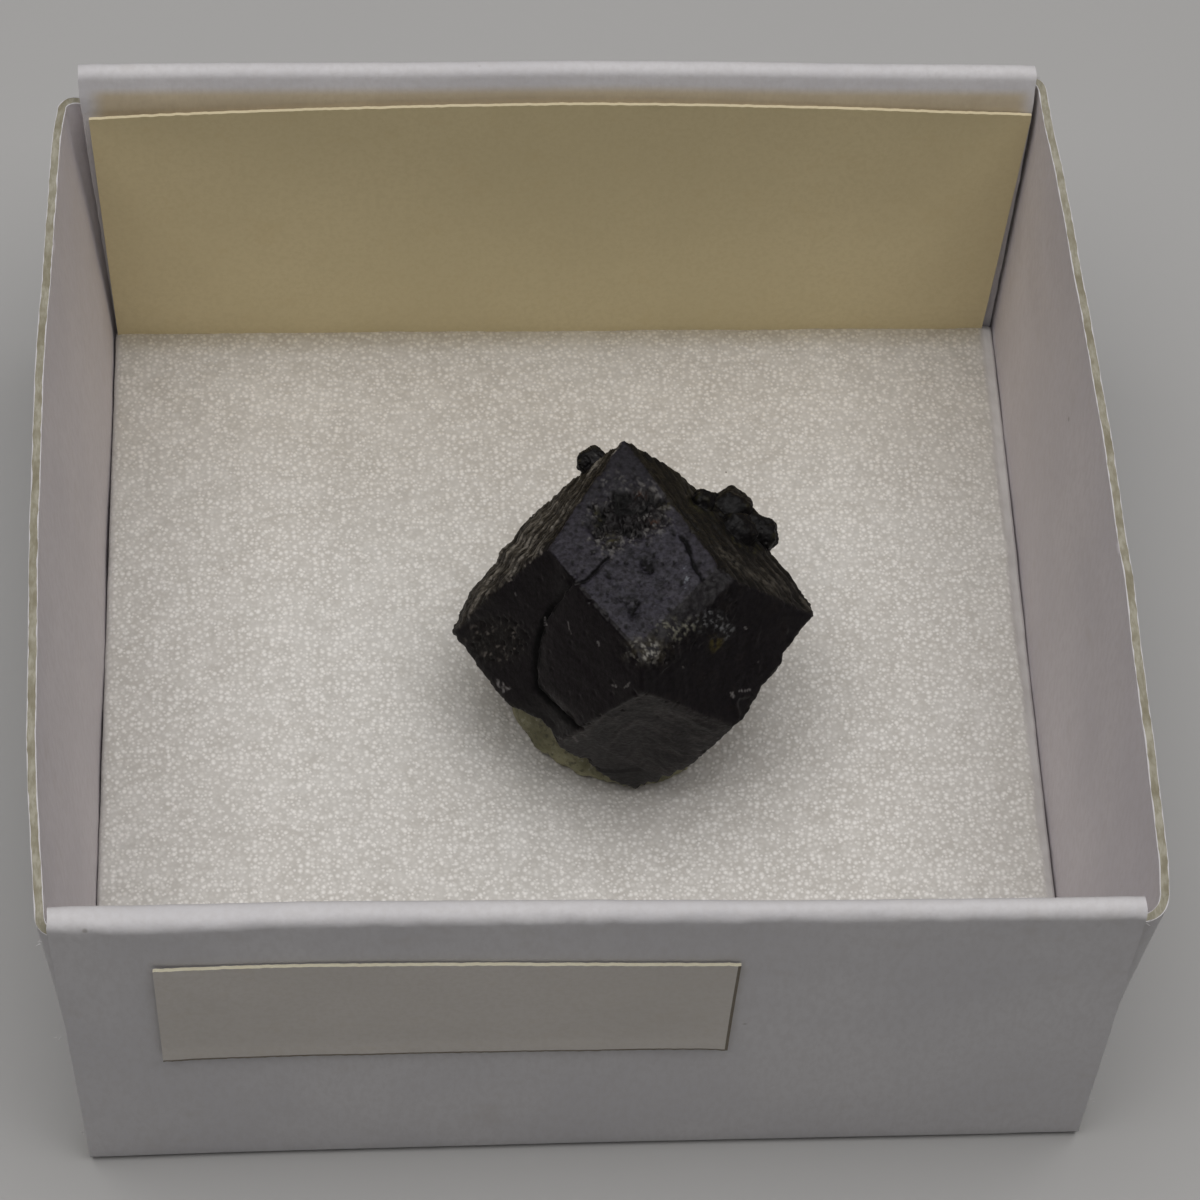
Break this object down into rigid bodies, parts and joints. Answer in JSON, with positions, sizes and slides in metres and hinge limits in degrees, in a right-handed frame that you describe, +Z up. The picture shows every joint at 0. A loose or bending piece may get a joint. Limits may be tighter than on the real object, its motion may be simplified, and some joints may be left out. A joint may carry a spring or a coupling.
{
  "type": "garnet in matrix",
  "caption": "Black garnet crystal on a little pale green matrix, resting on a foam pad in a small open folded card specimen box with a blank paper label.",
  "frame": {"origin": "centre of the box's square underside", "axes": "+Z up out of the open box, -Y towards the front wall with the small sticker, +Y towards the back wall that the card stands against, +X to the right along the front wall"},
  "size_m": [0.0424, 0.041, 0.0191],
  "materials": {
    "board": "matte",
    "foam": "matte",
    "label_paper": "matte",
    "sticker_paper": "matte",
    "garnet": "satin",
    "matrix_rock": "satin"
  },
  "bodies": {
    "root": {"card_box": "board", "foam_pad": "foam", "label_card": "label_paper", "number_label": "sticker_paper", "garnet": "garnet", "matrix": "matrix_rock"}
  },
  "joints": []
}
